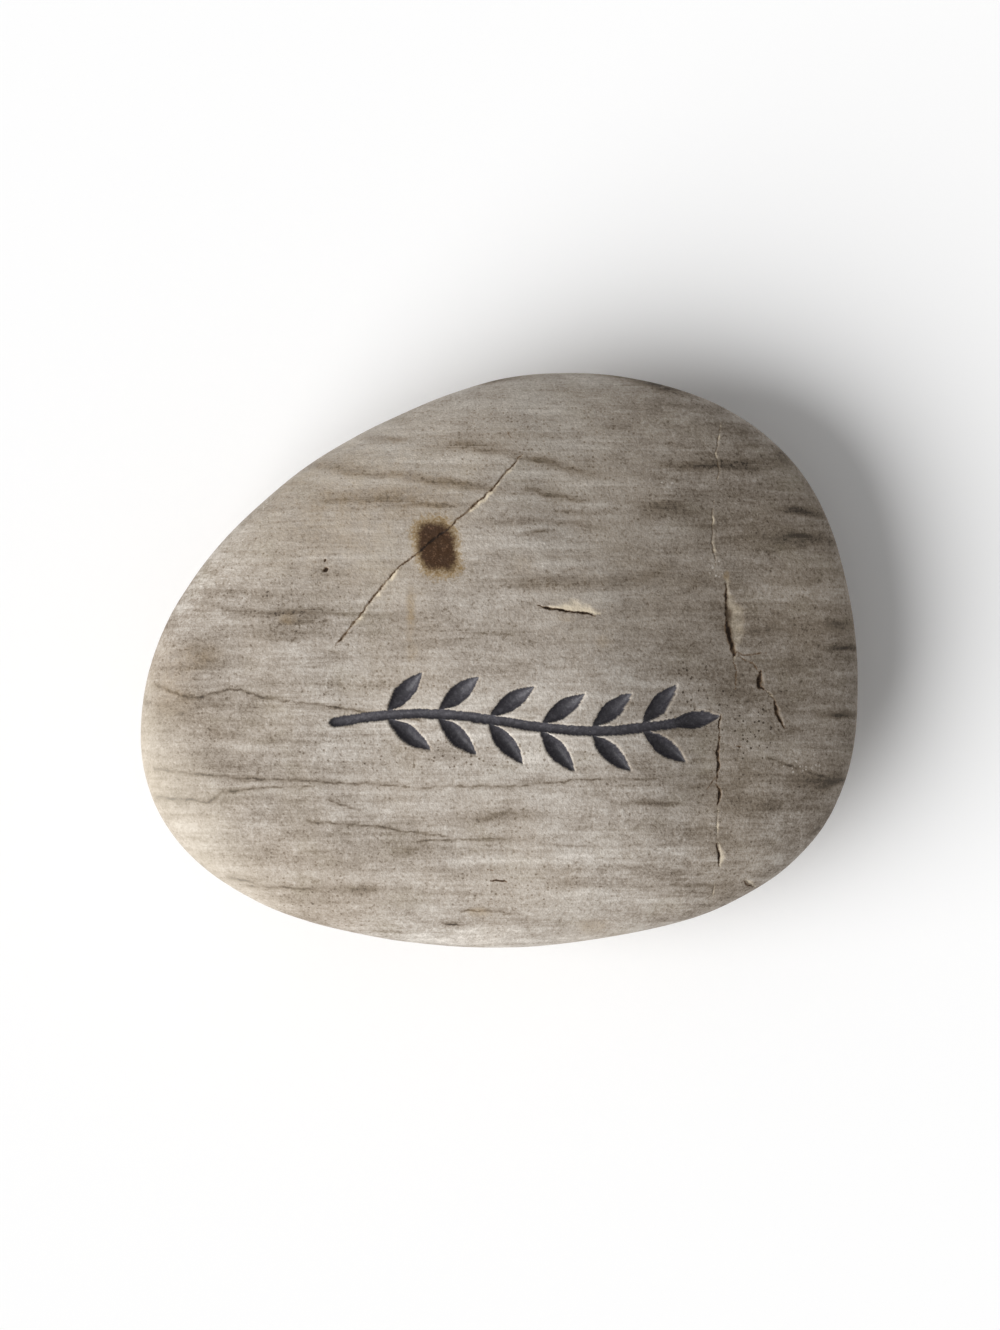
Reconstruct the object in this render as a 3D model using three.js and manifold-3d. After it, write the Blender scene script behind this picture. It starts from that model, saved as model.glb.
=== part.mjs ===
// A flat river pebble: one solid with an egg-shaped outline, two domed faces and a worn seat,
// with the chips and cracks of its upper face and a shallow leaf sprig carved between them.
// Millimetres, +Z up. The origin is the middle of the pebble's box, on the surface it rests on.

import * as THREE from "three";
import { mergeVertices } from "three/addons/utils/BufferGeometryUtils.js";
import Module from "manifold-3d";

const wasm = await Module();
wasm.setup();

// Driving dimensions
const LENGTH = 75; // longest way across, along X
const THICKNESS = 24; // from the seat to the top of the crown
const RIM_HEIGHT = 12; // mean height of the widest line round the stone
const RIM_DROP = 2.2; // how much lower that line is on the side of the shoulder
const RIM_WANDER = 0.6; // how far it rises and falls besides, twice in a turn
const RIM_PHASE = 0.8; // where in the turn it does
const ROUNDNESS = 2.25; // exponent of the side profile: 2 is an ellipse, more is fuller
const SWELL = 0.35; // height of the crown's slow swellings
const SWELL_SPAN = 9; // length of one radian of a swelling
const SWELL_PHASE = 0.5;
const SEAT_WEAR = 0.6; // how much of the belly's tip is worn off flat

// The crown's sloping shoulder, a broad flat falling away on one side
const SHOULDER_ANGLE = THREE.MathUtils.degToRad(20); // the way it falls, from +X
const SHOULDER_START = 8; // how far from the middle it starts
const SHOULDER_FALL = 0.019; // share of the crown's height lost in each millimetre
const SHOULDER_EASE = 2.5; // how gently it starts

// Outline radii as shares of half the length, at equal angles counter-clockwise from +X
const OUTLINE_SHARES = [
  0.997, 0.995, 0.955, 0.859, 0.781, 0.739, 0.76, 0.84,
  0.965, 1.035, 0.949, 0.837, 0.8, 0.832, 0.941, 1.019,
];

// Cracks and chips in the crown: a line in plan, the reach of its left and right walls
// and its depth. A chip has one steep wall and one long sloping one.
const CRACKS = [
  {
    line: [
      [-17, 1.5], [-15.6, 3.1], [-13, 6.5], [-11, 9], [-8.6, 11],
      [-5.5, 13.5], [-3.1, 15.6], [-0.5, 18], [2.2, 21.2],
    ],
    left: 0.1,
    right: 0.5,
    depth: 0.25,
  },
  {
    line: [[3.8, 5.6], [5.2, 5.35], [7.3, 5], [8.8, 4.9], [9.7, 4.6]],
    left: 1.5,
    right: 0.2,
    depth: 0.45,
  },
  {
    line: [[23.3, 7.9], [23.4, 5.7], [23.6, 3.1], [24.1, 1], [24.2, 0.3]],
    left: 2.2,
    right: 0.25,
    depth: 0.6,
  },
  {
    line: [[27.05, -1.2], [27, -2.8], [27.4, -3.1], [28.5, -4.2], [28.7, -5.5], [29.4, -7]],
    left: 0.35,
    right: 0.3,
    depth: 0.45,
  },
  {
    line: [
      [22.9, -5.5], [22.7, -7.5], [22.5, -9.5], [22.35, -12.8], [22.7, -13.5],
      [22.4, -15], [22.3, -19], [22.7, -21.3],
    ],
    left: 0.3,
    right: 0.2,
    depth: 0.35,
  },
];
const CRACK_TIP = 0.2; // share of its width and depth that a crack keeps at its tips
const CRACK_LIP = 0.4; // how far the cutting shape stands above the stone

// A round pit
const PIT = { place: [-18, 9.3], radius: 0.35 };

// Carved sprig: a swaying stem with pairs of leaves and one leaf at its tip
const STEM_START = -17;
const STEM_END = 18.6;
const STEM_MIDDLE = -6.4; // the stem's mean place along Y
const STEM_SWAY = 0.9;
const STEM_RADIUS = 0.5;
const LEAF_PAIRS = 6;
const FIRST_PAIR = 0.14; // shares of the stem's length
const LAST_PAIR = 0.88;
const TIP_LEAF = 0.965;
const LEAF_LENGTH = 5.6;
const LEAF_WIDTH = 1.8;
const LEAF_DEPTH = 1.05;
const LEAF_SPREAD = THREE.MathUtils.degToRad(42);
const LEAF_GAP = 0.5; // from the stem's middle to the foot of a leaf

// Fineness of the facets
const BODY_DETAIL = 14;
const FACE_BIAS = 1.8; // draws facets from the rim towards the two broad faces
const LEAF_SIDES = 10;
const LEAF_STEPS = 8;
const STEM_SIDES = 8;
const STEM_STEPS = 30;
const BALL_SIDES = 10;
const WELD = 1e-4; // points closer than this are one
const TINY = 1e-9;

const STONE = new THREE.MeshStandardMaterial({ color: 0xa59a8c, roughness: 0.85, metalness: 0 });

// Outline and height of the stone

// Smooth weight of one of count equally spaced samples round a circle, at an angle from it
function sampleWeight(offset, count) {
  const half = Math.sin(offset / 2);
  if (Math.abs(half) < TINY) return 1;
  return (Math.sin((count * offset) / 2) * Math.cos(offset / 2)) / (count * half);
}

function outlineRadius(angle) {
  const count = OUTLINE_SHARES.length;
  const step = (2 * Math.PI) / count;
  const share = OUTLINE_SHARES.reduce(
    (sum, value, index) => sum + value * sampleWeight(angle - index * step, count),
    0,
  );
  return (share * LENGTH) / 2;
}

function rimHeight(angle) {
  const drop = RIM_DROP * Math.cos(angle - SHOULDER_ANGLE);
  return RIM_HEIGHT - drop + RIM_WANDER * Math.sin(2 * angle + RIM_PHASE);
}

// Share of the crown's height that the sloping shoulder leaves
function shoulderShare(x, y) {
  const along = x * Math.cos(SHOULDER_ANGLE) + y * Math.sin(SHOULDER_ANGLE);
  const past = SHOULDER_EASE * Math.log1p(Math.exp((along - SHOULDER_START) / SHOULDER_EASE));
  return 1 - SHOULDER_FALL * past;
}

// Height of the upper face where it has risen by a share of its way from the rim to the top
function crownLevel(x, y, rise) {
  const rim = rimHeight(Math.atan2(y, x));
  const swell = SWELL * Math.sin(x / SWELL_SPAN + SWELL_PHASE) * Math.cos(y / SWELL_SPAN);
  return rim + (THICKNESS - rim + swell) * shoulderShare(x, y) * rise;
}

function crownHeight(x, y) {
  const reach = Math.hypot(x, y) / outlineRadius(Math.atan2(y, x));
  const rise = (1 - Math.min(reach, 1) ** ROUNDNESS) ** (1 / ROUNDNESS);
  return crownLevel(x, y, rise);
}

function onCrown(x, y) {
  return new THREE.Vector3(x, y, crownHeight(x, y));
}

// The uncut stone's surface in a direction from its middle
function stonePoint(direction) {
  const angle = Math.atan2(direction.y, direction.x);
  const flat = Math.hypot(direction.x, direction.y);
  const stretch = (flat ** ROUNDNESS + Math.abs(direction.z) ** ROUNDNESS) ** (-1 / ROUNDNESS);
  const radius = outlineRadius(angle) * flat * stretch;
  const x = radius * Math.cos(angle);
  const y = radius * Math.sin(angle);
  const rise = Math.abs(direction.z) * stretch;
  const rim = rimHeight(angle);
  const z = direction.z > 0 ? crownLevel(x, y, rise) : rim - (rim + SEAT_WEAR) * rise;
  return new THREE.Vector3(x, y, z);
}

// Solids

function bareGeometry(geometry) {
  const bare = geometry.clone();
  bare.deleteAttribute("normal");
  bare.deleteAttribute("uv");
  return mergeVertices(bare, WELD);
}

function toSolid(geometry) {
  const bare = bareGeometry(geometry);
  return new wasm.Manifold(
    new wasm.Mesh({
      numProp: 3,
      vertProperties: bare.getAttribute("position").array,
      triVerts: Uint32Array.from(bare.index.array),
    }),
  );
}

function toGeometry(solid) {
  const mesh = solid.getMesh();
  const geometry = new THREE.BufferGeometry();
  geometry.setAttribute("position", new THREE.BufferAttribute(mesh.vertProperties, 3));
  geometry.setIndex(new THREE.BufferAttribute(mesh.triVerts, 1));
  geometry.computeVertexNormals();
  return geometry;
}

function uncutStone() {
  const geometry = bareGeometry(new THREE.IcosahedronGeometry(1, BODY_DETAIL));
  const position = geometry.getAttribute("position");
  const direction = new THREE.Vector3();
  for (let index = 0; index < position.count; index++) {
    direction.fromBufferAttribute(position, index);
    direction.z *= FACE_BIAS;
    const point = stonePoint(direction.normalize());
    position.setXYZ(index, point.x, point.y, point.z);
  }
  return toSolid(geometry);
}

// What is worn off below the surface that the stone rests on
function wornSeat() {
  const geometry = new THREE.BoxGeometry(LENGTH, LENGTH, THICKNESS);
  return toSolid(geometry.translate(0, 0, -THICKNESS / 2));
}

// A wedge that follows a crack's line, narrow at its tips: left lip, bottom, right lip, ridge
function crackWedge({ line, left, right, depth }) {
  const flare = 1 + CRACK_LIP / depth;
  const last = line.length - 1;
  const corners = line.flatMap(([x, y], index) => {
    const before = line[Math.max(index - 1, 0)];
    const after = line[Math.min(index + 1, last)];
    const along = new THREE.Vector2(after[0] - before[0], after[1] - before[1]).normalize();
    const open = index === 0 || index === last ? CRACK_TIP : 1;
    const surface = crownHeight(x, y);
    const lip = surface + CRACK_LIP * open;
    return [
      [x - along.y * left * flare * open, y + along.x * left * flare * open, lip],
      [x, y, surface - depth * open],
      [x + along.y * right * flare * open, y - along.x * right * flare * open, lip],
      [x, y, lip + CRACK_LIP],
    ];
  });
  const faces = [[0, 1, 2], [0, 2, 3]];
  for (let span = 0; span < last; span++) {
    for (let side = 0; side < 4; side++) {
      const a = span * 4 + side;
      const b = span * 4 + ((side + 1) % 4);
      faces.push([a, a + 4, b], [b, a + 4, b + 4]);
    }
  }
  const end = last * 4;
  faces.push([end, end + 2, end + 1], [end, end + 3, end + 2]);
  const geometry = new THREE.BufferGeometry();
  geometry.setAttribute("position", new THREE.Float32BufferAttribute(corners.flat(), 3));
  geometry.setIndex(faces.flat());
  return toSolid(geometry);
}

function roundHollow(x, y, radius) {
  const ball = new THREE.SphereGeometry(radius, BALL_SIDES, BALL_SIDES);
  return toSolid(ball.translate(...onCrown(x, y)));
}

// The stem's place in plan at a share of its length
function stemPoint(share) {
  const x = THREE.MathUtils.lerp(STEM_START, STEM_END, share);
  return new THREE.Vector2(x, STEM_MIDDLE + STEM_SWAY * Math.sin(2 * Math.PI * share));
}

function stemAngle(share) {
  const step = 0.01;
  return stemPoint(share + step).sub(stemPoint(share - step)).angle();
}

function stemGroove() {
  const shares = Array.from({ length: STEM_STEPS + 1 }, (_, index) => index / STEM_STEPS);
  const path = new THREE.CatmullRomCurve3(
    shares.map((share) => {
      const { x, y } = stemPoint(share);
      return onCrown(x, y);
    }),
  );
  const section = new THREE.Shape().absarc(0, 0, STEM_RADIUS, 0, 2 * Math.PI);
  const groove = new THREE.ExtrudeGeometry(section, {
    steps: STEM_STEPS,
    curveSegments: STEM_SIDES,
    extrudePath: path,
  });
  return toSolid(groove);
}

// A step in plan of a length at an angle
function planStep(angle, length) {
  return new THREE.Vector2(Math.cos(angle), Math.sin(angle)).multiplyScalar(length);
}

// A pointed spindle half sunk in the crown, from the leaf's foot towards its tip
function leafHollow(foot, angle) {
  const tip = planStep(angle, LEAF_LENGTH).add(foot);
  const start = onCrown(foot.x, foot.y);
  const end = onCrown(tip.x, tip.y);
  const along = end.clone().sub(start).normalize();
  const upright = new THREE.Vector3(0, 0, 1);
  const side = along.clone().cross(upright).normalize();
  const up = side.clone().cross(along);
  const profile = Array.from({ length: LEAF_STEPS + 1 }, (_, index) => {
    const share = index / LEAF_STEPS;
    const inside = index > 0 && index < LEAF_STEPS;
    return new THREE.Vector2(inside ? Math.sin(Math.PI * share) : 0, share);
  });
  const spindle = new THREE.LatheGeometry(profile, LEAF_SIDES);
  spindle.scale(LEAF_WIDTH / 2, start.distanceTo(end), LEAF_DEPTH);
  spindle.applyMatrix4(new THREE.Matrix4().makeBasis(side, along, up).setPosition(start));
  return toSolid(spindle);
}

function leafHollows() {
  const hollows = [leafHollow(stemPoint(TIP_LEAF), stemAngle(TIP_LEAF))];
  for (let pair = 0; pair < LEAF_PAIRS; pair++) {
    const share = THREE.MathUtils.lerp(FIRST_PAIR, LAST_PAIR, pair / (LEAF_PAIRS - 1));
    for (const side of [-1, 1]) {
      const angle = stemAngle(share) + side * LEAF_SPREAD;
      hollows.push(leafHollow(planStep(angle, LEAF_GAP).add(stemPoint(share)), angle));
    }
  }
  return hollows;
}

function pebble() {
  const stemFoot = stemPoint(0);
  const cuts = [
    wornSeat(),
    ...CRACKS.map(crackWedge),
    roundHollow(...PIT.place, PIT.radius),
    stemGroove(),
    roundHollow(stemFoot.x, stemFoot.y, STEM_RADIUS),
    ...leafHollows(),
  ];
  const stone = cuts.reduce((solid, cut) => solid.subtract(cut), uncutStone());
  const geometry = toGeometry(stone);
  geometry.computeBoundingBox();
  const middle = geometry.boundingBox.getCenter(new THREE.Vector3());
  geometry.translate(-middle.x, -middle.y, 0);
  const mesh = new THREE.Mesh(geometry, STONE);
  mesh.name = "pebble";
  return mesh;
}

const part = new THREE.Group();
part.add(pebble());

export default part;
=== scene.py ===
# A flat river pebble of grey-beige banded stone, with cracks, a rust spot and a painted leaf sprig
# carved in its upper face. Lengths are in millimetres, and MM turns them into Blender's metres.
# Places on the upper face are (x, y) as seen from above, from the middle of the pebble.

import math
from collections import namedtuple

import bmesh
import bpy
import numpy as np
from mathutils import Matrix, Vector, noise


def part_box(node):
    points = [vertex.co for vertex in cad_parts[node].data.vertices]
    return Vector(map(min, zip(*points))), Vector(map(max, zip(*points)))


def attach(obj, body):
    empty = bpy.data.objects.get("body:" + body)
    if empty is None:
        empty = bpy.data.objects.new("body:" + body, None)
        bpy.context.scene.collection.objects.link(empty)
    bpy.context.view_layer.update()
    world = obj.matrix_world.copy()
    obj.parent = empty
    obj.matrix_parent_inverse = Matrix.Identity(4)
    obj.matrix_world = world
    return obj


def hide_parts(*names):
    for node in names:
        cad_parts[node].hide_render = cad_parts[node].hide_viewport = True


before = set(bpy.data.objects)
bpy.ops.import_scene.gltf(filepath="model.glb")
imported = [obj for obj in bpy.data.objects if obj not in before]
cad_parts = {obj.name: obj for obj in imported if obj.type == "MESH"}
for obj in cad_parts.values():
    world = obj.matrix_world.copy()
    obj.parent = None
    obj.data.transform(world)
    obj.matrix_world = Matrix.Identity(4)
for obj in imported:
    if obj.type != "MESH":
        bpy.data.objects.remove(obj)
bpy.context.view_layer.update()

MM = 0.001
CAD_LOW, CAD_HIGH = (np.array(corner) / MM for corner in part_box("pebble"))
LENGTH = CAD_HIGH[0] - CAD_LOW[0]
MIDDLE = (CAD_LOW + CAD_HIGH)[:2] / 2

# Form of the stone
THICKNESS = 24
RIM_HEIGHT = 12
RIM_DROP = 2.2
RIM_WANDER = 0.6
RIM_PHASE = 0.8
ROUNDNESS = 2.25
SWELL = 0.35
SWELL_SPAN = 9
SWELL_PHASE = 0.5
SEAT_WEAR = 0.6
SHOULDER_ANGLE = math.radians(20)
SHOULDER_START = 8
SHOULDER_FALL = 0.019
SHOULDER_EASE = 2.5
OUTLINE_SHARES = np.array([
    0.997, 0.995, 0.955, 0.859, 0.781, 0.739, 0.76, 0.84,
    0.965, 1.035, 0.949, 0.837, 0.8, 0.832, 0.941, 1.019,
])
FACE_BIAS = 1.8
LUMPS = ((13, 0.16), (4.5, 0.05))
TINY = 1e-9
RIPPLE_SHIFT = 7.3
UPPER_SLOPES = (-0.1, 0.15)

# Cracks: a line, the reach of its left and right walls, the depth, the width of its dark bottom,
# how dirty that is, how pale its walls are, as fresh broken stone and as a painted highlight on the
# walls that face the key light, how long the crack takes to open, how softly its walls round over
# into the face, and how far brown dirt spreads over the walls
Crack = namedtuple(
    "Crack", "line left right depth dark dirt pale taper soft spread", defaults=(1.2, 1, 0))
UPPER_HAIRLINE = ((22.9, 24.7), (22.6, 22.6), (22.4, 21.4), (22.6, 20.5), (22.7, 19.8), (22.5, 18.6))
LOWER_HAIRLINE = ((22.1, 16.4), (22, 14.6), (22, 11.5), (22.2, 10.6), (22.3, 9.6))
CRACKS = (
    Crack(((-17, 1.5), (-15.6, 3.1), (-13, 6.5), (-11, 9), (-8.6, 11), (-5.5, 13.5), (-3.1, 15.6),
           (-0.5, 18), (2.2, 21.2)), 0.1, 0.35, 0.24, 0.1, 0.75, 0.3, 1.2, 1),
    Crack(((-15.6, 3.1), (-13, 6.5), (-11, 9), (-10, 9.8)), 0.05, 0.7, 0.14, 0.02, 0, 0.9, 1.5, 1.3),
    Crack(((-3.7, 15.1), (-3.1, 15.6), (-0.5, 18), (2.2, 21.2)), 0.05, 0.7, 0.14, 0.02, 0, 1, 1.5, 1.3),
    Crack(((3.8, 5.6), (5.2, 5.35), (7.3, 5), (8.8, 4.9), (9.7, 4.6)),
          0.3, 0.2, 0.45, 0.14, 1, 0.6, 1.6, 1.6, 0.4),
    Crack(((5.2, 5.4), (7.6, 5), (8.9, 4.95), (10.1, 4.7)), 2.1, 0.1, 0.32, 0.02, 0, 1, 2, 2),
    Crack(((23.3, 7.9), (23.4, 5.7), (23.6, 3.1), (24.1, 1), (24.2, 0.3)),
          3, 0.3, 0.7, 0.15, 1, 0.6, 3.6, 2, 1.2),
    Crack(((23.45, 4.6), (23.65, 3.1), (24.1, 1.2), (24.3, 0.5)),
          0.9, 0.25, 0.6, 0.36, 1, 0, 1.5, 1, 0.8),
    Crack(((24.2, 0.3), (24.5, -1.2), (24.3, -3.1)), 0.12, 0.12, 0.1, 0.08, 0.7, 0.1),
    Crack(((24.1, 0.9), (25.6, 0.5), (27.6, 0.8)), 0.12, 0.15, 0.1, 0.09, 0.8, 0.1),
    Crack(((24.4, 0.7), (26.2, -0.4), (26.9, -1.2)), 0.12, 0.15, 0.1, 0.08, 0.65, 0.1),
    Crack(((27.05, -1.2), (27, -2), (26.9, -2.8), (27.4, -3.1)),
          0.6, 0.35, 0.45, 0.28, 1, 0.1, 0.9, 1, 0.6),
    Crack(((27.3, -3), (27.9, -3.5), (28.5, -4.2)), 0.25, 0.15, 0.2, 0.06, 0.6, 1),
    Crack(((28.45, -4.2), (28.7, -5.5), (29.1, -6.3), (29.4, -7)),
          0.5, 0.25, 0.4, 0.22, 1, 0.2, 1, 1, 0.6),
    Crack(UPPER_HAIRLINE, 0.1, 0.15, 0.12, 0.06, 0.5, 0),
    Crack(UPPER_HAIRLINE, 0.3, 0.05, 0.1, 0.02, 0, 1, 1.2, 1.1),
    Crack(LOWER_HAIRLINE, 0.1, 0.15, 0.12, 0.06, 0.5, 0),
    Crack(LOWER_HAIRLINE, 0.3, 0.05, 0.1, 0.02, 0, 1, 1.2, 1.1),
    Crack(((22.9, -5.5), (22.75, -6.4), (22.7, -7.5)), 0.3, 0.2, 0.3, 0.12, 0.9, 0.8, 1, 1.5),
    Crack(((22.7, -7.5), (22.5, -9.5), (22.6, -11.2), (22.4, -12.6)), 0.15, 0.15, 0.2, 0.13, 1, 0.1),
    Crack(((22.35, -12.8), (22.7, -13.5), (22.6, -14.6), (22.4, -15)),
          0.4, 0.25, 0.4, 0.2, 1, 0.6, 1, 1.4),
    Crack(((22.5, -15), (22.4, -17), (22.3, -18.9)), 0.25, 0.1, 0.12, 0.04, 0.4, 1, 1.2, 1.2),
    Crack(((22.3, -19), (22.6, -20), (22.7, -21.3)), 0.2, 0.25, 0.35, 0.13, 1, 0, 1, 1, 0.3),
    Crack(((22.4, -18.8), (22.7, -20), (22.8, -21.5)), 0.7, 0.05, 0.2, 0.02, 0, 0.9, 0.8, 1.7),
    Crack(((22.3, -22.9), (21.9, -25)), 0.3, 0.1, 0.12, 0.04, 0.3, 1, 1.2, 1.4),
    Crack(((22.3, -12.1), (21.3, -13.4)), 0.12, 0.12, 0.12, 0.08, 0.8, 0.2),
    Crack(((25.4, -22.9), (25.9, -23.5), (26.3, -23.7)), 0.2, 0.2, 0.3, 0.13, 1, 0, 0.8),
    Crack(((25.5, -22.8), (26, -23.4), (26.6, -23.7)), 0.8, 0.05, 0.25, 0.02, 0, 0.9, 0.8, 1.7),
    Crack(((0.8, 23.7), (1.1, 22.9)), 0.12, 0.12, 0.12, 0.1, 0.7, 0.2),
    Crack(((-1, -22.7), (0.9, -22.8)), 0.12, 0.15, 0.12, 0.14, 0.9, 0.2),
    Crack(((-1.3, -21.5), (-0.7, -21.6)), 0.12, 0.15, 0.1, 0.1, 0.7, 0.2),
    Crack(((24.3, -8.8), (25.3, -9.1)), 0.1, 0.12, 0.1, 0.1, 0.7, 0.2),
)
DIRT_TAPER = 0.8
DIRT_TIP = 0.45
STAIN = 0.7
CRACK_TIP = 0.25
CRACK_WANDER = ((1.5, 0.12), (0.45, 0.1), (0.2, 0.05))
FRESH_AND_HIGHLIGHT_EDGE = 0.5
OPENING = 0.75
OPENING_UNEVEN = 0.55
OPENING_SPAN = 1.1
CRUMB_SPAN = 0.8
CRUMB_RANGE = (-0.15, 0.25)
FILL_LEAST = 0.65
FILL_SPAN = 0.5
FILL_RANGE = (-0.3, 0.1)
DARK_OUTSIDE = 1.5
DARK_INSIDE = 0.5

# Hair-thin dark veins: a line and how dark it is
VEINS = (
    (((-36.5, -2.3), (-34.2, -3.2), (-32.3, -3.7), (-30.8, -3.7), (-28.7, -3.3), (-26.6, -3),
      (-24.8, -3.8), (-22.4, -4.2), (-17.7, -4.7), (-14.6, -5.2), (-11, -5.6), (-7.1, -6.5)), 1),
    (((-36.5, -11.2), (-33.4, -11.6), (-29.2, -12), (-22.9, -12.3), (-17.7, -12.5), (-10.4, -13),
      (-8.3, -13.2)), 0.85),
    (((-36, -14.1), (-33.9, -14.3), (-30.2, -14.6), (-28.7, -13.6), (-27.1, -13.4), (-24, -13.1),
      (-18.8, -13)), 1),
    (((-18.3, -14.1), (-16.2, -14.9), (-13.6, -15.6)), 0.9),
    (((-9.4, -13.2), (-6.3, -13), (-3.7, -12.9), (3.1, -12.9), (6.3, -12.5), (9.4, -12.3),
      (16.7, -12.1)), 0.8),
    (((-20.6, -16.6), (-16.7, -16.8), (-13, -17.2), (-9.4, -17.7), (-5, -18.1)), 0.8),
    (((-9.3, -18.7), (-6, -18.5), (-2.1, -18.4), (1.5, -18.6)), 0.8),
    (((3.5, -18.8), (10.4, -19.3), (18.8, -19)), 0.55),
    (((-4.7, -25.8), (-1, -25.8), (2.6, -26.3)), 0.9),
    (((-28.7, -22.4), (-26.6, -22.8), (-24.5, -23.3)), 1.2),
    (((-27.1, -23.4), (-24, -23.5), (-18.8, -23.7)), 1),
    (((-6.3, -27.3), (-3.1, -27.6)), 0.9),
    (((27.1, -9.6), (28.7, -10.4), (30.8, -11.2), (34.9, -12.5)), 0.95),
    (((2.6, 20.8), (4.7, 20.3), (6.8, 19.8), (9.4, 19.4)), 0.8),
)
VEIN_WIDTH = 0.17
VEIN_BLUR = 3
VEIN_FADE = 1.2
VEIN_WANDER = ((3, 0.15), (0.7, 0.14), (0.25, 0.08))
VEIN_CORE = 0.8
VEIN_GAP_LEAST = 0.35
VEIN_GAP_SPAN = 0.9
VEIN_GAP_RANGE = (-0.25, 0.25)

# Soft dark streaks, or light ones where the strength is negative: middle, half length, half width,
# fall towards +X and strength
Streak = namedtuple("Streak", "x y length width fall strength")
STREAKS = (
    Streak(-11.5, 23.1, 2, 0.35, 0.05, 0.9),
    Streak(-3.5, 21.9, 4.5, 0.6, 0.05, 1.1),
    Streak(3.5, 20.6, 5.5, 0.5, 0.17, 0.8),
    Streak(24, 20.5, 6, 0.6, 0, 0.65),
    Streak(-16, 19.4, 4.5, 0.35, 0.06, 0.8),
    Streak(-5, 18.2, 6.5, 0.45, 0.11, 0.95),
    Streak(7.4, 16.9, 4.5, 0.4, 0.06, 0.85),
    Streak(4, 17.1, 2.5, 0.3, 0.08, 0.5),
    Streak(7.6, 15.3, 3.5, 0.3, 0.03, 0.8),
    Streak(3.5, 13.1, 2, 0.22, 0, 0.9),
    Streak(-12, 16.5, 9.4, 1, -0.03, 0.8),
    Streak(-6, 15.8, 4, 0.3, 0.05, 0.6),
    Streak(17, 15.9, 3.8, 1.2, 0, 0.7),
    Streak(2.6, 14.4, 4, 0.5, 0.04, 0.6),
    Streak(8.4, 13.9, 2.5, 0.3, 0.1, 0.6),
    Streak(31.5, 15.3, 3, 0.4, 0.1, 0.7),
    Streak(31.5, 12.8, 2.5, 0.4, 0.05, 0.7),
    Streak(3, 8.2, 4.5, 1.1, 0.02, 0.42),
    Streak(14, 8.4, 9, 0.9, 0, 0.45),
    Streak(-28, 5.3, 4.5, 0.35, 0.06, 0.45),
    Streak(-20, 4.9, 4, 0.4, 0, 0.5),
    Streak(-21, 3.6, 3, 0.5, 0, 0.45),
    Streak(-21.5, 2, 4, 0.5, -0.04, 0.5),
    Streak(-1, 2.5, 9, 0.8, 0, 0.5),
    Streak(-31.5, 0, 2.6, 1.5, 0, 0.5),
    Streak(35, 4, 2, 0.4, 0, 0.7),
    Streak(35.5, 1.5, 2, 0.4, 0, 0.7),
    Streak(35.5, -5.6, 2, 0.4, 0, 0.9),
    Streak(33.5, -12.5, 3, 0.7, 0.05, 1),
    Streak(-31, -4, 4, 0.6, 0.02, 0.4),
    Streak(15.6, -14.6, 3.1, 0.3, 0.05, 0.6),
    Streak(-0.8, -16.2, 2.5, 0.3, 0, 0.7),
    Streak(-9, -19.3, 2, 0.5, 0, 0.5),
    Streak(-14, -23.4, 2, 0.4, 0, 0.5),
    Streak(7.8, -23.4, 2.5, 0.35, 0, 0.5),
    Streak(21, -23.5, 4, 0.3, 0, 0.5),
    Streak(0, 29, 2.5, 0.4, -0.2, 0.8),
    Streak(17.2, 28.6, 3, 0.6, 0.2, 0.8),
    Streak(28, 15.5, 8, 4.5, 0.1, 0.35),
    Streak(-12, 4.5, 16, 2.8, 0.03, 0.4),
    Streak(-31, -6.5, 6, 3, 0, 0.22),
    Streak(26, -1, 9, 4, 0, 0.15),
    Streak(22, -20, 8, 4, 0, -0.18),
    Streak(-1, -6.5, 20, 4, 0, -0.2),
    Streak(-31, 7.5, 5, 3.5, -0.4, -0.4),
    Streak(-5, -28.5, 10, 1.5, 0, -0.4),
    Streak(0, -14.6, 8, 3, 0, 0.15),
    Streak(-17.7, -23, 6, 3, 0, 0.15),
    Streak(2, 0, 8, 3, 0, 0.15),
    Streak(-11, 21, 8, 4, 0, -0.2),
    Streak(19.8, 2, 5, 3, 0, 0.12),
    Streak(30.5, 2.8, 3.5, 1.6, 0, 0.18),
    Streak(27.5, 7, 3.5, 1.2, 0, -0.25),
    Streak(31, -4.5, 4, 3, 0, 0.1),
    Streak(29, -16.3, 3.5, 1, 0, -0.2),
    Streak(24.8, -15, 2.2, 1.2, 0, 0.3),
    Streak(7, 25, 5, 3, 0, -0.12),
    Streak(19.8, 20.5, 2.2, 0.6, 0, 0.15),
    Streak(15.5, 19.2, 2.5, 0.5, 0.1, 0.35),
    Streak(9.5, 22.6, 3.5, 1.2, 0, -0.15),
    Streak(7, 18.6, 5, 0.6, 0.05, -0.3),
    Streak(11, 16.1, 3.5, 0.5, 0, -0.25),
    Streak(14, 29.4, 4, 0.3, 0.14, 0.8),
    Streak(12, 28.7, 4, 0.3, 0.1, -0.5),
)
STREAK_MOST = 1.6
STREAK_WANDER = ((6, 0.8), (2, 0.3))

# Carved sprig: a swaying stem with pairs of leaves and one leaf at its tip
STEM_START = -17
STEM_END = 18.6
STEM_MIDDLE = -6.4
STEM_SWAY = 0.9
STEM_RADIUS = 0.5
STEM_STEPS = 48
LEAF_PAIRS = 6
FIRST_PAIR = 0.14
LAST_PAIR = 0.88
TIP_LEAF = 0.965
LEAF_LENGTH = 5.6
LEAF_WIDTH = 1.8
LEAF_DEPTH = 1.05
LEAF_SPREAD = math.radians(42)
LEAF_GAP = 0.5
CARVING_WANDER = ((1.2, 0.07), (0.4, 0.05))
LIP_WIDTH = 0.25
# pale band round the carving: pale stone and a painted highlight on its lip
LIP_PALE_AND_HIGHLIGHT = 0.15
LIP_DROP = 0.1
PAINT_FROM = 0.12
PAINT_FULL = 0.2

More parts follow.
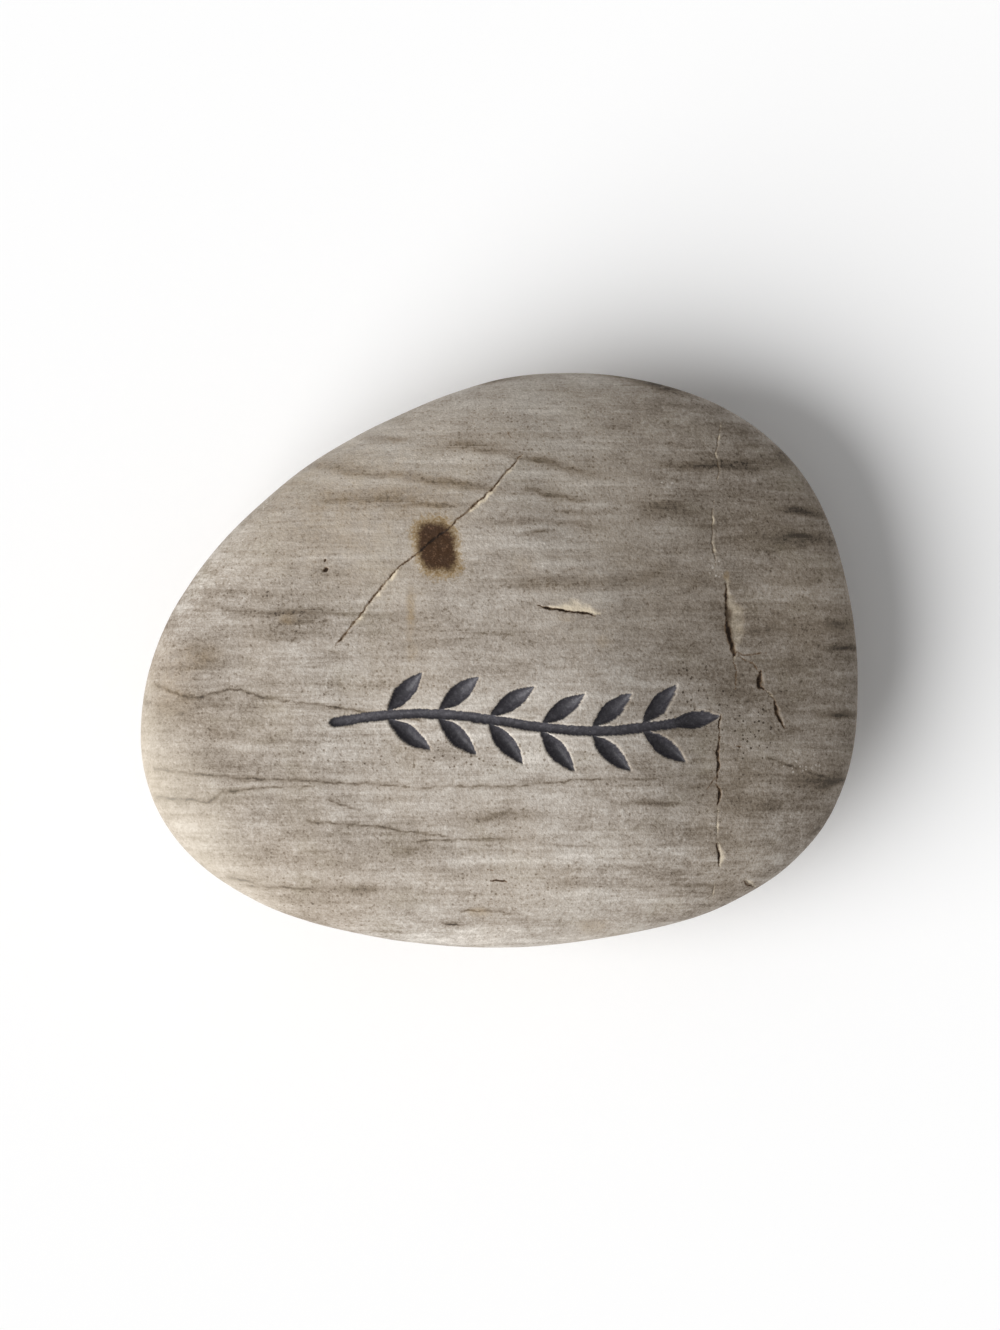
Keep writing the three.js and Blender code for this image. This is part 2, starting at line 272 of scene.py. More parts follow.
# Rust spot and how far it is kept from the underside, warm tints (middle, half width, half height and
# strength), and pits
RUST_PLACE = (-6.5, 11.6)
RUST_HALF = (1.95, 2.5)
RUST_LEAN = -0.14
RUST_SQUARENESS = 3
RUST_AWAY = 20
Zone = namedtuple("Zone", "x y width height strength")
ZONE_WANDER = ((1.5, 0.3), (0.5, 0.12))
ZONE_OUTSIDE = 1.3
ZONE_INSIDE = 0.3
TINTS = (
    Zone(-9.2, 4.8, 0.5, 3.6, 0.7),
    Zone(-9.1, 0.8, 0.7, 0.9, 0.6),
    Zone(-21.9, 4.2, 0.9, 0.6, 0.5),
    Zone(23.4, 8.8, 0.5, 0.6, 0.9),
    Zone(-2.1, -26, 1.4, 0.6, 0.5),
    Zone(9.6, -27.7, 1.8, 1, 0.5),
    Zone(-31, 0.5, 2.5, 1.6, 0.3),
    Zone(-14, 17, 15, 11, 0.36),
    Zone(-34, -2, 3, 4, 0.25),
    Zone(12, 8, 13, 8, 0.16),
    Zone(6.9, 4.3, 1.3, 0.5, 0.45),
    Zone(2.5, 9.9, 1.6, 1.2, 0.3),
    Zone(10.7, 2, 1.2, 0.9, 0.35),
    Zone(8, 23, 14, 8, 0.18),
)
Pit = namedtuple("Pit", "x y radius depth")
PITS = (Pit(-18, 9.3, 0.3, 0.35), Pit(-18, 10.3, 0.16, 0.15))
PIT_WANDER = ((0.6, 0.15), (0.25, 0.08))
PIT_WALL = (1, 0.2)
PIT_DARK = (1.1, 0.4)

# Zones of dark specks, or of light ones where the strength is negative
SPECKLE = (
    Zone(26, -8.5, 3.5, 4.5, 1),
    Zone(20, -5, 5, 6, 0.7),
    Zone(-6, -9.8, 24, 2.5, 0.6),
    Zone(-14, -3.5, 7, 3, 0.5),
    Zone(2, -23, 9, 4, 0.5),
    Zone(-22, 7, 9, 6, 0.4),
    Zone(5, 23, 13, 6, 0.45),
    Zone(17.4, 18, 2.2, 0.6, -1),
    Zone(-5.3, 20.9, 2.4, 0.6, -0.8),
    Zone(-24.2, 15.9, 0.5, 0.5, -1),
    Zone(-26.6, 12.4, 1, 0.6, -0.8),
    Zone(22.3, 9.6, 0.8, 1.6, -1),
    Zone(31, -11, 3.5, 0.9, -1),
    Zone(22.5, -6, 1, 1, -0.7),
)

# Fineness of the mesh
ROUGH_STEPS = 6
FINE_EDGE = 0.11
VEIN_EDGE = 0.15
BOWL_EDGE = 0.22
ZONE_SHARE = 0.6
ZONE_EDGES = (0.24, 1.2)
WIDEST_EDGE = 10
EDGE_GROWTH = 0.6
FINE_BAND = 0.2
SIDE_LEVEL = 9
MAX_ROUNDS = 6
EDGE_SLACK = 1.4


# Form

def sample_weight(offset, count):
    """Smooth weight of one of count equally spaced samples round a circle, at an angle from it."""
    half = np.sin(offset / 2)
    near = np.abs(half) < TINY
    safe = np.where(near, 1, half)
    return np.where(near, 1, np.sin(count * offset / 2) * np.cos(offset / 2) / (count * safe))


def outline_radius(angle):
    count = len(OUTLINE_SHARES)
    offset = angle[:, None] - np.arange(count) * 2 * math.pi / count
    return sample_weight(offset, count) @ OUTLINE_SHARES * LENGTH / 2


def stone_surface(sphere):
    """The smooth stone's points for points on a unit sphere."""
    biased = sphere * (1, 1, FACE_BIAS)
    biased /= np.linalg.norm(biased, axis=1)[:, None]
    dx, dy, dz = biased.T
    angle = np.arctan2(dy, dx)
    flat = np.hypot(dx, dy)
    stretch = (flat**ROUNDNESS + np.abs(dz)**ROUNDNESS) ** (-1 / ROUNDNESS)
    radius = outline_radius(angle) * flat * stretch
    rise = np.abs(dz) * stretch
    x = radius * np.cos(angle)
    y = radius * np.sin(angle)
    rim = RIM_HEIGHT - RIM_DROP * np.cos(angle - SHOULDER_ANGLE)
    rim += RIM_WANDER * np.sin(2 * angle + RIM_PHASE)
    swell = SWELL * np.sin(x / SWELL_SPAN + SWELL_PHASE) * np.cos(y / SWELL_SPAN)
    along = x * math.cos(SHOULDER_ANGLE) + y * math.sin(SHOULDER_ANGLE)
    past = SHOULDER_EASE * np.log1p(np.exp((along - SHOULDER_START) / SHOULDER_EASE))
    shoulder = 1 - SHOULDER_FALL * past
    crown = rim + (THICKNESS - rim + swell) * shoulder * rise
    belly = rim - (rim + SEAT_WEAR) * rise
    z = np.maximum(np.where(dz > 0, crown, belly), 0)
    return np.column_stack((x + MIDDLE[0], y + MIDDLE[1], z))


def ripple(points, span):
    """Smooth noise from -1 to 1 with features of about span."""
    return np.array([noise.noise(Vector(point / span)) for point in points])


def plan_ripple(plan, span, level=0):
    """Smooth noise over plan points, cut at one level of it."""
    return ripple(np.column_stack((plan, np.full(len(plan), float(level)))), span)


def wandered(plan, ripples):
    """Plan points moved about by (span, amount) ripples, so that what is drawn on them wavers."""
    moved = plan.copy()
    for span, amount in ripples:
        for axis in (0, 1):
            level = RIPPLE_SHIFT * span * (axis + 1)
            moved[:, axis] += amount * plan_ripple(plan, span, level)
    return moved


# Lines on the upper face

def line_offsets(plan, line):
    """Signed distance from a line, positive on its left, and the distance from its nearer end along it."""
    line = np.array(line, float)
    spans = np.diff(line, axis=0)
    lengths = np.linalg.norm(spans, axis=1)
    starts = np.concatenate(([0], np.cumsum(lengths)[:-1]))
    best = np.full(len(plan), np.inf)
    signed = np.full(len(plan), np.inf)
    inside = np.zeros(len(plan))
    for start, span, length, before in zip(line, spans, lengths, starts):
        reach = plan - start
        share = np.clip(reach @ span / length**2, 0, 1)
        distance = np.linalg.norm(reach - share[:, None] * span, axis=1)
        closer = distance < best
        side = np.where(span[0] * reach[:, 1] - span[1] * reach[:, 0] < 0, -1, 1)
        along = before + share * length
        best = np.where(closer, distance, best)
        signed = np.where(closer, side * distance, signed)
        inside = np.where(closer, np.minimum(along, lengths.sum() - along), inside)
    return signed, inside


def smooth(low, high, value):
    share = np.clip((value - low) / (high - low), 0, 1)
    return share * share * (3 - 2 * share)


def crack_fields(plan):
    """How far the cracks sink each point, how dirty they make it, and how pale: fresh stone and painted
    highlight.
    """
    plan = wandered(plan, CRACK_WANDER)
    depth = np.zeros(len(plan))
    dirt = np.zeros(len(plan))
    pale = np.zeros(len(plan))
    uneven = OPENING + OPENING_UNEVEN * plan_ripple(plan, OPENING_SPAN)
    crumbs = smooth(*CRUMB_RANGE, plan_ripple(plan, CRUMB_SPAN))
    filled = FILL_LEAST + (1 - FILL_LEAST) * smooth(*FILL_RANGE, plan_ripple(plan, FILL_SPAN))
    for crack in CRACKS:
        signed, inside = line_offsets(plan, crack.line)
        distance = np.abs(signed)
        opening = (CRACK_TIP + (1 - CRACK_TIP) * smooth(0, crack.taper, inside)) * uneven
        wide = np.where(signed > 0, crack.left, crack.right)
        wall = np.clip(1 - distance / (wide * opening), 0, 1)
        depth = np.maximum(depth, wall**crack.soft * crack.depth * opening)
        dark = crack.dark * (DIRT_TIP + (1 - DIRT_TIP) * smooth(0, DIRT_TAPER, inside)) * np.sqrt(uneven)
        bottom = smooth(dark * DARK_OUTSIDE, dark * DARK_INSIDE, distance)
        if crack.spread:
            stain = STAIN * smooth(np.minimum(wide, crack.spread) * opening, 0, distance)
            bottom = np.maximum(bottom, stain)
        dirt = np.maximum(dirt, bottom * crack.dirt * filled)
        # paleness of the walls: fresh broken stone and a painted highlight, widest on walls that face the
        # key light
        fresh_and_highlight = smooth(0, FRESH_AND_HIGHLIGHT_EDGE * crack.soft, wall) * (1 - bottom) * crack.pale
        pale = np.maximum(pale, fresh_and_highlight * np.maximum(crumbs, crack.soft - 1))
    return depth, dirt, pale


# Carved sprig

def stem_point(share):
    x = STEM_START + (STEM_END - STEM_START) * share
    return np.array((x, STEM_MIDDLE + STEM_SWAY * math.sin(2 * math.pi * share)))


def stem_angle(share):
    step = 0.01
    ahead = stem_point(share + step) - stem_point(share - step)
    return math.atan2(ahead[1], ahead[0])


def toward(angle):
    return np.array((math.cos(angle), math.sin(angle)))


def stem_line():
    return [stem_point(step / STEM_STEPS) for step in range(STEM_STEPS + 1)]


def leaves():
    """Foot and angle of every leaf."""
    found = [(stem_point(TIP_LEAF), stem_angle(TIP_LEAF))]
    for pair in range(LEAF_PAIRS):
        share = FIRST_PAIR + (LAST_PAIR - FIRST_PAIR) * pair / (LEAF_PAIRS - 1)
        for side in (-1, 1):
            angle = stem_angle(share) + side * LEAF_SPREAD
            found.append((stem_point(share) + toward(angle) * LEAF_GAP, angle))
    return found


def leaf_shape(plan, foot, angle):
    """Half width of a leaf beside each point, 0 past its ends, and the point's distance from its axis."""
    reach = plan - foot
    along = reach @ toward(angle) / LEAF_LENGTH
    across = np.abs(reach @ toward(angle + math.pi / 2))
    beside_leaf = (along > 0) & (along < 1)
    return np.where(beside_leaf, np.sin(math.pi * along), 0) * LEAF_WIDTH / 2, across


def carving_fields(plan):
    """How far the sprig sinks each point, and how near its lip each point outside it is."""
    plan = wandered(plan, CARVING_WANDER)
    signed, _ = line_offsets(plan, stem_line())
    outside = np.abs(signed) - STEM_RADIUS
    depth = np.sqrt(np.maximum(STEM_RADIUS**2 - np.minimum(np.abs(signed), STEM_RADIUS) ** 2, 0))
    for foot, angle in leaves():
        half, across = leaf_shape(plan, foot, angle)
        bowl = np.sqrt(np.maximum(half**2 - across**2, 0))
        depth = np.maximum(depth, LEAF_DEPTH * bowl / (LEAF_WIDTH / 2))
        outside = np.minimum(outside, np.where(half > 0, across - half, np.inf))
    lip = np.clip(1 - outside / LIP_WIDTH, 0, 1)
    return np.where(depth > 0, depth + LIP_DROP, LIP_DROP * lip**2), lip


# Colour fields

def vein_shade(plan):
    plan = wandered(plan, VEIN_WANDER)
    gaps = smooth(*VEIN_GAP_RANGE, plan_ripple(plan, VEIN_GAP_SPAN))
    unbroken = VEIN_GAP_LEAST + (1 - VEIN_GAP_LEAST) * gaps
    shade = np.zeros(len(plan))
    for line, strength in VEINS:
        signed, inside = line_offsets(plan, line)
        distance = np.abs(signed)
        core = VEIN_CORE * unbroken * smooth(VEIN_WIDTH, 0, distance)
        blur = (1 - VEIN_CORE) * smooth(VEIN_WIDTH * VEIN_BLUR, 0, distance)
        shade = np.maximum(shade, strength * (core + blur) * smooth(0, VEIN_FADE, inside))
    return shade


def zone_offset(plan, zone):
    """How far out of a zone each point is, 1 at its edge."""
    return np.hypot((plan[:, 0] - zone.x) / zone.width, (plan[:, 1] - zone.y) / zone.height)


def zone_shade(plan, zones):
    plan = wandered(plan, ZONE_WANDER)
    shade = np.zeros(len(plan))
    for zone in zones:
        strength = zone.strength * smooth(ZONE_OUTSIDE, ZONE_INSIDE, zone_offset(plan, zone))
        shade = np.where(np.abs(strength) > np.abs(shade), strength, shade)
    return shade


def pit_fields(plan):
    """How far the pits sink each point, and how dark they make it."""
    plan = wandered(plan, PIT_WANDER)
    depth = np.zeros(len(plan))
    dark = np.zeros(len(plan))
    for pit in PITS:
        offset = np.hypot(plan[:, 0] - pit.x, plan[:, 1] - pit.y) / pit.radius
        depth = np.maximum(depth, pit.depth * smooth(*PIT_WALL, offset))
        dark = np.maximum(dark, smooth(*PIT_DARK, offset))
    return depth, dark


def streak_offset(plan, streak):
    """How far out of a streak each point is, 1 at its edge."""
    along = (plan[:, 0] - streak.x) / streak.length
    across = (plan[:, 1] - streak.y + streak.fall * (plan[:, 0] - streak.x)) / streak.width
    return np.hypot(along, across)


def streak_shade(plan):
    plan = wandered(plan, STREAK_WANDER)
    shade = np.zeros(len(plan))
    for streak in STREAKS:
        shade += streak.strength * np.exp(-streak_offset(plan, streak) ** 2)
    return np.minimum(shade, STREAK_MOST)


def rust_distance(plan):
    """Rough distance from the rust spot's edge, negative inside it."""
    x = plan[:, 0] - RUST_PLACE[0]
    y = plan[:, 1] - RUST_PLACE[1]
    x = x - RUST_LEAN * y
    across = (np.abs(x) / RUST_HALF[0]) ** RUST_SQUARENESS
    along = (np.abs(y) / RUST_HALF[1]) ** RUST_SQUARENESS
    spread = (across + along) ** (1 / RUST_SQUARENESS)
    return (spread - 1) * sum(RUST_HALF) / 2


# Mesh

def wanted_edge(points):
    """The longest edge that the mesh may have at each point."""
    plan = points[:, :2]
    wanted = np.full(len(points), float(WIDEST_EDGE))

    def ask(distance, edge):
        np.minimum(wanted, edge + EDGE_GROWTH * np.maximum(distance - FINE_BAND, 0), out=wanted)

    def ask_zone(offset, width):
        ask((offset - 1) * width, np.clip(ZONE_SHARE * width, *ZONE_EDGES))

    for crack in CRACKS:
        signed, _ = line_offsets(plan, crack.line)
        ask(np.maximum(-signed - crack.right, signed - crack.left), FINE_EDGE)
    for line, _ in VEINS:
        ask(np.abs(line_offsets(plan, line)[0]), VEIN_EDGE)
    ask(np.abs(line_offsets(plan, stem_line())[0]) - STEM_RADIUS, FINE_EDGE)
    for foot, angle in leaves():
        tip = foot + toward(angle) * LEAF_LENGTH
        ask(np.abs(line_offsets(plan, (foot, tip))[0]) - LEAF_WIDTH / 2, BOWL_EDGE)
        half, across = leaf_shape(plan, foot, angle)
        ask(np.where(half > 0, np.abs(across - half), np.inf), FINE_EDGE)
    for pit in PITS:
        ask(np.hypot(plan[:, 0] - pit.x, plan[:, 1] - pit.y) - pit.radius, FINE_EDGE)
    for streak in STREAKS:
        ask_zone(streak_offset(plan, streak), streak.width)
    for zone in TINTS + SPECKLE:
        ask_zone(zone_offset(plan, zone), min(zone.width, zone.height))
    ask_zone(rust_distance(plan), ZONE_EDGES[0])
    wanted[points[:, 2] < SIDE_LEVEL] = WIDEST_EDGE
    return wanted


def mesh_points(mesh):
    flat = np.empty(len(mesh.verts) * 3)
    for index, vert in enumerate(mesh.verts):
        flat[index * 3:index * 3 + 3] = vert.co
    return flat.reshape(-1, 3)


def refined_sphere():
    """A unit sphere whose faces are small where the stone has small features."""
    sphere = bmesh.new()
    bmesh.ops.create_icosphere(sphere, subdivisions=ROUGH_STEPS, radius=1)
    for _ in range(MAX_ROUNDS):
        points = stone_surface(mesh_points(sphere))
        wanted = wanted_edge(points)
        ends = np.array([[vert.index for vert in edge.verts] for edge in sphere.edges])
        lengths = np.linalg.norm(points[ends[:, 0]] - points[ends[:, 1]], axis=1)
        too_long = lengths > EDGE_SLACK * wanted[ends].min(axis=1)
        if not too_long.any():
            break
        edges = list(sphere.edges)
        chosen = [edges[index] for index in np.flatnonzero(too_long)]
        bmesh.ops.subdivide_edges(sphere, edges=chosen, cuts=1)
        bmesh.ops.triangulate(sphere, faces=[face for face in sphere.faces if len(face.verts) > 3])
        for vert in sphere.verts:
            vert.co.normalize()
        sphere.verts.index_update()
    return sphere


def set_field(mesh, name, values):
    field = mesh.attributes.new(name, "FLOAT", "POINT")
    field.data.foreach_set("value", values.astype(np.float32))


def add_object(name, data):
    made = bpy.data.objects.new(name, data)
    bpy.context.scene.collection.objects.link(made)
    return made


def make_pebble():
    sphere = refined_sphere()
    mesh = bpy.data.meshes.new("pebble_stone")
    points = stone_surface(mesh_points(sphere))
    sphere.to_mesh(mesh)
    sphere.free()
    mesh.vertices.foreach_set("co", (points * MM).astype(np.float32).ravel())
    mesh.update()
    normals = np.empty(len(points) * 3, np.float32)
    mesh.vertex_normals.foreach_get("vector", normals)
    normals = normals.reshape(-1, 3)

    plan = points[:, :2]
    upper = smooth(*UPPER_SLOPES, normals[:, 2])
    crack, dirt, pale = crack_fields(plan)
    carving, lip = carving_fields(plan)
    pit, pit_dark = pit_fields(plan)
    sink = np.maximum(np.maximum(crack, carving), pit) * upper
    swell = sum(amount * ripple(points, span) for span, amount in LUMPS)
    moved = points + normals * (swell - sink)[:, None]
    moved[:, 2] = np.where(points[:, 2] <= 0, 0, np.maximum(moved[:, 2], 0))
    mesh.vertices.foreach_set("co", (moved * MM).astype(np.float32).ravel())
    mesh.shade_smooth()
    mesh.update()

    painted = smooth(PAINT_FROM, PAINT_FULL, carving)
    set_field(mesh, "dirt", np.maximum(dirt, pit_dark) * upper)
    set_field(mesh, "paint", painted * upper)
    set_field(mesh, "vein", vein_shade(plan) * upper)
    set_field(mesh, "streak", streak_shade(plan) * upper)
    # pale crack walls and a pale lip round the carving, both partly painted highlight
    set_field(mesh, "pale", np.maximum(pale, LIP_PALE_AND_HIGHLIGHT * lip * (1 - painted)) * upper)
    set_field(mesh, "tint", zone_shade(plan, TINTS) * upper)
    set_field(mesh, "speckle", zone_shade(plan, SPECKLE) * upper)
    set_field(mesh, "rust", rust_distance(plan) + RUST_AWAY * (1 - upper))
    return add_object("pebble_stone", mesh)


# Materials

class Shader:
    """One material's node tree."""

    def __init__(self, name):
        self.material = bpy.data.materials.new(name)
        self.material.use_nodes = True
        self.tree = self.material.node_tree
        self.tree.nodes.clear()

    def node(self, kind, inputs=None, **settings):
        made = self.tree.nodes.new("ShaderNode" + kind)
        for name, value in settings.items():
            setattr(made, name, value)
        for name, value in (inputs or {}).items():
            self.feed(made.inputs[name], value)
        return made

    def feed(self, socket, value):
        if isinstance(value, bpy.types.NodeSocket):
            self.tree.links.new(value, socket)
        else:
            socket.default_value = value

    def math(self, operation, first, second=0.0):
        return self.node("Math", {0: first, 1: second}, operation=operation).outputs[0]

    def mix(self, factor, first, second):
        made = self.node("Mix", {0: factor, 6: first, 7: second}, data_type="RGBA")
        return made.outputs[2]

    def ramp(self, value, low, high, start=0.0, end=1.0):
        made = self.node(
            "MapRange",
            {"Value": value, "From Min": low, "From Max": high, "To Min": start, "To Max": end},
            interpolation_type="SMOOTHSTEP",
        )
        return made.outputs[0]

    def noise(self, place, span, detail=2.0, roughness=0.5, distortion=0.0):
        inputs = {"Vector": place, "Scale": 1 / span, "Detail": detail, "Roughness": roughness}
        inputs["Distortion"] = distortion
        return self.node("TexNoise", inputs).outputs[0]

    def stretched(self, place, spans, turn=0.0):
        made = self.node("Mapping", {"Vector": place, "Rotation": (turn, 0, 0)}, vector_type="POINT")
        made.inputs["Scale"].default_value = [1 / span for span in spans]
        return made.outputs[0]

    def plus(self, total, value, gain, middle=0.5):
        """The total with gain times the value's distance from its middle added."""
        lowered = self.math("ADD", total, -middle * gain) if middle else total
        return self.node("Math", {0: value, 1: gain, 2: lowered}, operation="MULTIPLY_ADD").outputs[0]

    def specks(self, place, spacing, size):
        """Sparse dots of uneven size up to a share of their spacing, 1 inside them."""
        cells = self.node("TexVoronoi", {"Vector": place, "Scale": 1 / spacing})
        chance = self.node("SeparateColor", {0: cells.outputs["Color"]}).outputs[0]
        reach = self.ramp(chance, *SPECK_CHANCE, 0, size)
        gap = self.math("SUBTRACT", reach, cells.outputs["Distance"])
        return self.ramp(gap, 0, size * SPECK_EDGE)

    def palette(self, value, stops):
        made = self.node("ValToRGB", {0: value})
        ramp = made.color_ramp
        while len(ramp.elements) < len(stops):
            ramp.elements.new(0.5)
        for element, (position, shade) in zip(ramp.elements, stops):
            element.position = position
            element.color = shade
        return made.outputs[0]

    def field(self, name):
        return self.node("Attribute", attribute_name=name).outputs["Fac"]


def colour(red, green, blue):
    """Linear colour of an sRGB colour given from 0 to 255."""
    def linear(value):
        share = value / 255
        return share / 12.92 if share <= 0.04045 else ((share + 0.055) / 1.055) ** 2.4
    return (linear(red), linear(green), linear(blue), 1)


TONES = (
    (0, colour(62, 53, 44)),
    (0.25, colour(115, 103, 89)),
    (0.5, colour(158, 148, 137)),
    (0.75, colour(190, 183, 174)),
    (1, colour(222, 215, 206)),
)
WARM = colour(190, 172, 149)
OLIVE = colour(152, 144, 118)
# Painted highlight: a pale cream for the lower left rim, the side that faces the key light
LIT_RIM_PAINTED_HIGHLIGHT = colour(218, 208, 190)
DIRT = colour(58, 44, 32)
BROWN = colour(114, 90, 64)
# Pale fresh stone, also used as a painted highlight on crack walls and the carving's lip
FRESH_AND_HIGHLIGHT = colour(222, 208, 183)
RUST = colour(60, 38, 17)
GRIME = colour(34, 22, 12)
RUST_FLECK = colour(110, 82, 60)
OCHRE = colour(146, 120, 74)
TINT = colour(148, 127, 97)
PAINT = colour(66, 64, 69)
PAINT_WORN = colour(112, 110, 116)


# Textures of the stone: size of their features, alike all round or along x, y and z of the bedding,
# then detail, roughness and distortion
Texture = namedtuple("Texture", "spans detail roughness distortion", defaults=(0.5, 0))
BEDDING = math.radians(25)
BAND = Texture((24, 2, 8), 4, 0.65, 0.5)
FIBRE = Texture((4.5, 0.4, 2), 3, 0.68, 0.4)
THREAD = Texture((13, 0.6, 5), 3, 0.7, 0.4)
PATCH = Texture((7, 3.5, 4), 2, 0.7)
WEATHER = Texture((9, 6, 6), 4, 0.7)
MOTTLE = Texture(2.4, 4, 0.95)
GRAIN = Texture(0.3, 1.5, 0.9)
PEPPER = Texture(0.42, 2, 0.7)
CLOUD = Texture(14, 3)

# How much each texture or marking lightens the tone, or darkens it where negative
BAND_GAIN = 0.6
PATCH_GAIN = 0.27
THREAD_GAIN = 0.34
FIBRE_GAIN = 0.28
MOTTLE_GAIN = 0.72
GRAIN_GAIN = 0.29
STREAK_GAIN = -0.5
VEIN_GAIN = -0.62
DARK_PEPPER_GAIN = -0.19
LIGHT_PEPPER_GAIN = 0.12
DARK_SPECK_GAIN = -0.55
LIGHT_SPECK_GAIN = 0.4

# Dots: spacing and largest share of it, the range of their chance, and the share that is a soft edge
DARK_SPECKS = (0.42, 0.36)
LIGHT_SPECKS = (0.35, 0.42)
SPECK_CHANCE = (0.4, 0.9)
SPECK_EDGE = 0.25

# Lower left side of the stone, as a direction in x and y
LOWER_LEFT = (-0.85, -0.5)

# Ramps: the values where each one starts and ends, and what it gives there when that isn't 0 and 1
# Tone from left to right: its fall towards +X is painted shade on the side turned away from the key light
SIDE_TONE_PAINTED_SHADE = (3, 25, 0.62, 0.41)
LOWER_LEFT_TONE = (2, 28, 0, -0.14)
STREAK_BREAKS = (0.32, 0.66, 0.25, 1.15)
VEIN_BREAKS = (0.4, 0.55, 0.5, 1)
DARK_PEPPER = (0.58, 0.72)
LIGHT_PEPPER = (0.4, 0.3)
CLOUD_SPECKS = (0.45, 0.65, 0.1, 0.4)
WARM_SHARE = (0.42, 0.65, 0, 0.12)
OLIVE_SHARE = (0.5, 0.72, 0, 0.12)
# painted highlight on the lower left rim, which faces the key light
LIT_RIM_PAINTED_HIGHLIGHT_SHARE = (29, 37, 0, 0.3)
TINT_SHARE = (0.4, 0.6, 0.3, 1)
FRESH_AND_HIGHLIGHT_SHARE = (0.35, 0.55, 0.4, 0.95)
HALO_SHARE = (1.1, -0.1, 0, 0.8)
FLECK_SHARE = (0.52, 0.72, 0, 0.7)
CORE_SHARE = (0.5, -0.5)
DIRT_GRAIN = (0.25, 0.5, 0.6, 1)
DIRT_SHADE = (0.4, 0.85)
DIRT_SHARE = (0, 0.7)
PAINT_GRAIN = (0.2, 0.32, 0.3, 1)
PAINT_WEAR = (0.42, 0.68, 0, 0.4)
PAINT_FILLING = (0, 1, 1, 0.35)
STONE_ROUGHNESS = (0.3, 0.7, 0.75, 0.95)

# Ragged edges of breaks and rust, small relief in millimetres, and gloss
STREAK_RAGGED = 0.6
STREAK_PEPPER = 0.08
RUST_RAGGED = 1.2
HALO_RAGGED = 1.6
CORE_RAGGED = 0.5
GRAIN_HEIGHT = 0.03
MOTTLE_HEIGHT = 0.1
PAINT_GLOSS = -0.35
STONE_SPECULAR = 0.4


